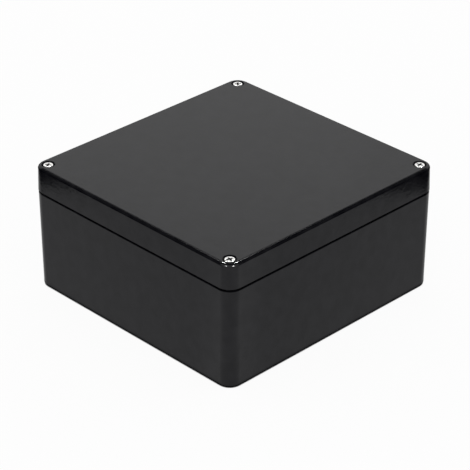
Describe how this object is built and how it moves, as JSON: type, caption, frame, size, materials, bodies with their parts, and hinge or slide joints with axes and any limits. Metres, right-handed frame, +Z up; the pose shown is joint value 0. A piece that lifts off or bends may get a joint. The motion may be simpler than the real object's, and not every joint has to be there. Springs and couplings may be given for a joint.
{
  "type": "plastic project box",
  "caption": "Black plastic project box: deep drafted base and tray lid with rounded corners, closed by cross-head screws in counterbores.",
  "frame": {"origin": "middle of the foot, on the surface that the box stands on", "axes": "+Z up through the lid, +Y along the longer side, +X along the shorter side; the pictured near corner is at +X -Y"},
  "size_m": [0.188, 0.192, 0.091],
  "materials": {
    "moulded_black": "satin moulded ABS, fine grain",
    "seal_rubber": "matt solid rubber",
    "screw_steel": "bright turned head, nickel plated",
    "insert_brass": "bright turned brass"
  },
  "bodies": {
    "base": {"base": "moulded_black", "insert_left": "insert_brass", "insert_front": "insert_brass", "insert_right": "insert_brass", "insert_back": "insert_brass"},
    "lid": {"lid": "moulded_black", "lid_gasket": "seal_rubber"},
    "screw_left": {"lid_screw_left": "screw_steel"},
    "screw_front": {"lid_screw_front": "screw_steel"},
    "screw_right": {"lid_screw_right": "screw_steel"},
    "screw_back": {"lid_screw_back": "screw_steel"}
  },
  "joints": [
    {"name": "lid_lift", "type": "slide", "parent": "base", "child": "lid", "axis": [0, 0, 1], "range_m": [0, 0.06]},
    {"name": "screw_left_rise", "type": "slide", "parent": "lid", "child": "screw_left", "axis": [0, 0, 1], "range_m": [0, 0.03]},
    {"name": "screw_front_rise", "type": "slide", "parent": "lid", "child": "screw_front", "axis": [0, 0, 1], "range_m": [0, 0.03]},
    {"name": "screw_right_rise", "type": "slide", "parent": "lid", "child": "screw_right", "axis": [0, 0, 1], "range_m": [0, 0.03]},
    {"name": "screw_back_rise", "type": "slide", "parent": "lid", "child": "screw_back", "axis": [0, 0, 1], "range_m": [0, 0.03]}
  ]
}
